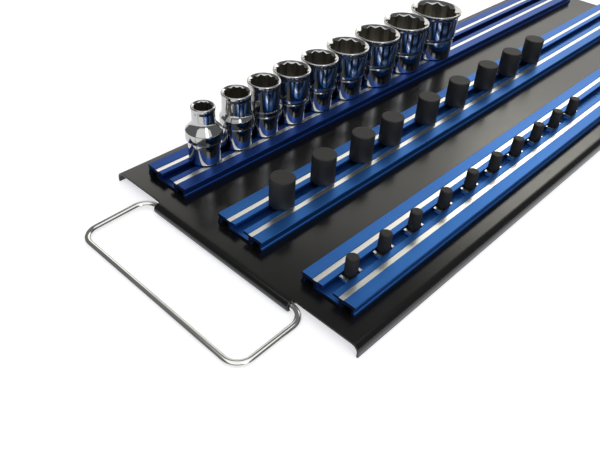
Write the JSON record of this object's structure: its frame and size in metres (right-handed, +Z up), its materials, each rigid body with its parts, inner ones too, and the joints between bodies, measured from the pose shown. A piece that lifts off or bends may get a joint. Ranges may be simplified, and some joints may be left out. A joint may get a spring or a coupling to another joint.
{
  "type": "socket organizer tray",
  "caption": "Flat steel socket tray with slotted blue rails, sliding clip posts, chrome sockets standing on one rail, and a folding wire handle at the front.",
  "frame": {"origin": "bottom centre of the whole part's box, handle included", "axes": "+Z up, +Y from the handle end to the rear along the rails, +X to the right seen from the handle end"},
  "size_m": [0.163, 0.4856, 0.0422],
  "materials": {
    "tray_paint": "black semi-gloss paint on sheet steel",
    "rail_blue": "blue anodised extrusion with two bare bright stripes",
    "rivet_head": "blue-dyed flush rivets",
    "handle_chrome": "bright plated wire",
    "socket_chrome": "polished chrome plate",
    "post_black": "moulded, fine matt",
    "spring_steel": "bright spring steel"
  },
  "bodies": {
    "tray": {"tray_plate": "tray_paint", "rail_left": "rail_blue", "rail_middle": "rail_blue", "rail_right": "rail_blue", "rail_rivets": "rivet_head"},
    "handle": {"handle": "handle_chrome"},
    "left_clip_1": {"three_eighths_post_1": "post_black"},
    "left_clip_2": {"three_eighths_post_2": "post_black"},
    "left_clip_3": {"three_eighths_post_3": "post_black"},
    "left_clip_4": {"three_eighths_post_4": "post_black"},
    "left_clip_5": {"three_eighths_post_5": "post_black"},
    "left_clip_6": {"three_eighths_post_6": "post_black"},
    "left_clip_7": {"three_eighths_post_7": "post_black"},
    "left_clip_8": {"three_eighths_post_8": "post_black"},
    "left_clip_9": {"three_eighths_post_9": "post_black"},
    "socket_1": {"socket_1": "socket_chrome"},
    "socket_2": {"socket_2": "socket_chrome"},
    "socket_3": {"socket_3": "socket_chrome"},
    "socket_4": {"socket_4": "socket_chrome"},
    "socket_5": {"socket_5": "socket_chrome"},
    "socket_6": {"socket_6": "socket_chrome"},
    "socket_7": {"socket_7": "socket_chrome"},
    "socket_8": {"socket_8": "socket_chrome"},
    "socket_9": {"socket_9": "socket_chrome"},
    "middle_clip_1": {"half_inch_post_1": "post_black"},
    "middle_clip_2": {"half_inch_post_2": "post_black"},
    "middle_clip_3": {"half_inch_post_3": "post_black"},
    "middle_clip_4": {"half_inch_post_4": "post_black"},
    "middle_clip_5": {"half_inch_post_5": "post_black"},
    "middle_clip_6": {"half_inch_post_6": "post_black"},
    "middle_clip_7": {"half_inch_post_7": "post_black"},
    "middle_clip_8": {"half_inch_post_8": "post_black"},
    "middle_clip_9": {"half_inch_post_9": "post_black"},
    "right_clip_1": {"quarter_inch_post_1": "post_black", "spring_plate_1": "spring_steel"},
    "right_clip_2": {"quarter_inch_post_2": "post_black", "spring_plate_2": "spring_steel"},
    "right_clip_3": {"quarter_inch_post_3": "post_black", "spring_plate_3": "spring_steel"},
    "right_clip_4": {"quarter_inch_post_4": "post_black", "spring_plate_4": "spring_steel"},
    "right_clip_5": {"quarter_inch_post_5": "post_black", "spring_plate_5": "spring_steel"},
    "right_clip_6": {"quarter_inch_post_6": "post_black", "spring_plate_6": "spring_steel"},
    "right_clip_7": {"quarter_inch_post_7": "post_black", "spring_plate_7": "spring_steel"},
    "right_clip_8": {"quarter_inch_post_8": "post_black", "spring_plate_8": "spring_steel"},
    "right_clip_9": {"quarter_inch_post_9": "post_black", "spring_plate_9": "spring_steel"},
    "right_clip_10": {"quarter_inch_post_10": "post_black", "spring_plate_10": "spring_steel"}
  },
  "joints": [
    {"name": "handle_swing", "type": "hinge", "parent": "tray", "child": "handle", "pos_m": [0, -0.20317, 0.00325], "axis": [-1, 0, 0], "range_deg": [-175.2, 57]},
    {"name": "left_clip_1_slide", "type": "slide", "parent": "tray", "child": "left_clip_1", "axis": [0, 1, 0], "range_m": [-0.0153, 0.0197]},
    {"name": "left_clip_2_slide", "type": "slide", "parent": "left_clip_1", "child": "left_clip_2", "axis": [0, 1, 0], "range_m": [-0.0029, 0.0197]},
    {"name": "left_clip_3_slide", "type": "slide", "parent": "left_clip_2", "child": "left_clip_3", "axis": [0, 1, 0], "range_m": [-0.0011, 0.0197]},
    {"name": "left_clip_4_slide", "type": "slide", "parent": "left_clip_3", "child": "left_clip_4", "axis": [0, 1, 0], "range_m": [-0.0009, 0.0197]},
    {"name": "left_clip_5_slide", "type": "slide", "parent": "left_clip_4", "child": "left_clip_5", "axis": [0, 1, 0], "range_m": [-0.0007, 0.0197]},
    {"name": "left_clip_6_slide", "type": "slide", "parent": "left_clip_5", "child": "left_clip_6", "axis": [0, 1, 0], "range_m": [-0.0006, 0.0197]},
    {"name": "left_clip_7_slide", "type": "slide", "parent": "left_clip_6", "child": "left_clip_7", "axis": [0, 1, 0], "range_m": [-0.0009, 0.0197]},
    {"name": "left_clip_8_slide", "type": "slide", "parent": "left_clip_7", "child": "left_clip_8", "axis": [0, 1, 0], "range_m": [-0.0008, 0.0197]},
    {"name": "left_clip_9_slide", "type": "slide", "parent": "left_clip_8", "child": "left_clip_9", "axis": [0, 1, 0], "range_m": [-0.0012, 0.0197]},
    {"name": "socket_1_lift", "type": "slide", "parent": "left_clip_1", "child": "socket_1", "axis": [0, 0, 1], "range_m": [0, 0.016]},
    {"name": "socket_2_lift", "type": "slide", "parent": "left_clip_2", "child": "socket_2", "axis": [0, 0, 1], "range_m": [0, 0.016]},
    {"name": "socket_3_lift", "type": "slide", "parent": "left_clip_3", "child": "socket_3", "axis": [0, 0, 1], "range_m": [0, 0.016]},
    {"name": "socket_4_lift", "type": "slide", "parent": "left_clip_4", "child": "socket_4", "axis": [0, 0, 1], "range_m": [0, 0.016]},
    {"name": "socket_5_lift", "type": "slide", "parent": "left_clip_5", "child": "socket_5", "axis": [0, 0, 1], "range_m": [0, 0.016]},
    {"name": "socket_6_lift", "type": "slide", "parent": "left_clip_6", "child": "socket_6", "axis": [0, 0, 1], "range_m": [0, 0.016]},
    {"name": "socket_7_lift", "type": "slide", "parent": "left_clip_7", "child": "socket_7", "axis": [0, 0, 1], "range_m": [0, 0.016]},
    {"name": "socket_8_lift", "type": "slide", "parent": "left_clip_8", "child": "socket_8", "axis": [0, 0, 1], "range_m": [0, 0.016]},
    {"name": "socket_9_lift", "type": "slide", "parent": "left_clip_9", "child": "socket_9", "axis": [0, 0, 1], "range_m": [0, 0.016]},
    {"name": "middle_clip_1_slide", "type": "slide", "parent": "tray", "child": "middle_clip_1", "axis": [0, 1, 0], "range_m": [-0.0206, 0.0081]},
    {"name": "middle_clip_2_slide", "type": "slide", "parent": "tray", "child": "middle_clip_2", "axis": [0, 1, 0], "range_m": [-0.0081, 0.0086]},
    {"name": "middle_clip_3_slide", "type": "slide", "parent": "tray", "child": "middle_clip_3", "axis": [0, 1, 0], "range_m": [-0.0086, 0.006]},
    {"name": "middle_clip_4_slide", "type": "slide", "parent": "tray", "child": "middle_clip_4", "axis": [0, 1, 0], "range_m": [-0.006, 0.0107]},
    {"name": "middle_clip_5_slide", "type": "slide", "parent": "tray", "child": "middle_clip_5", "axis": [0, 1, 0], "range_m": [-0.0107, 0.0091]},
    {"name": "middle_clip_6_slide", "type": "slide", "parent": "tray", "child": "middle_clip_6", "axis": [0, 1, 0], "range_m": [-0.0091, 0.0099]},
    {"name": "middle_clip_7_slide", "type": "slide", "parent": "tray", "child": "middle_clip_7", "axis": [0, 1, 0], "range_m": [-0.0099, 0.0084]},
    {"name": "middle_clip_8_slide", "type": "slide", "parent": "tray", "child": "middle_clip_8", "axis": [0, 1, 0], "range_m": [-0.0084, 0.0089]},
    {"name": "middle_clip_9_slide", "type": "slide", "parent": "tray", "child": "middle_clip_9", "axis": [0, 1, 0], "range_m": [-0.0089, 0.1435]},
    {"name": "right_clip_1_slide", "type": "slide", "parent": "tray", "child": "right_clip_1", "axis": [0, 1, 0], "range_m": [-0.0091, 0.0059]},
    {"name": "right_clip_2_slide", "type": "slide", "parent": "tray", "child": "right_clip_2", "axis": [0, 1, 0], "range_m": [-0.0059, 0.0059]},
    {"name": "right_clip_3_slide", "type": "slide", "parent": "tray", "child": "right_clip_3", "axis": [0, 1, 0], "range_m": [-0.0059, 0.0067]},
    {"name": "right_clip_4_slide", "type": "slide", "parent": "tray", "child": "right_clip_4", "axis": [0, 1, 0], "range_m": [-0.0067, 0.0065]},
    {"name": "right_clip_5_slide", "type": "slide", "parent": "tray", "child": "right_clip_5", "axis": [0, 1, 0], "range_m": [-0.0065, 0.0062]},
    {"name": "right_clip_6_slide", "type": "slide", "parent": "tray", "child": "right_clip_6", "axis": [0, 1, 0], "range_m": [-0.0062, 0.0061]},
    {"name": "right_clip_7_slide", "type": "slide", "parent": "tray", "child": "right_clip_7", "axis": [0, 1, 0], "range_m": [-0.0061, 0.006]},
    {"name": "right_clip_8_slide", "type": "slide", "parent": "tray", "child": "right_clip_8", "axis": [0, 1, 0], "range_m": [-0.006, 0.0059]},
    {"name": "right_clip_9_slide", "type": "slide", "parent": "tray", "child": "right_clip_9", "axis": [0, 1, 0], "range_m": [-0.0059, 0.0058]},
    {"name": "right_clip_10_slide", "type": "slide", "parent": "tray", "child": "right_clip_10", "axis": [0, 1, 0], "range_m": [-0.0058, 0.1933]}
  ]
}
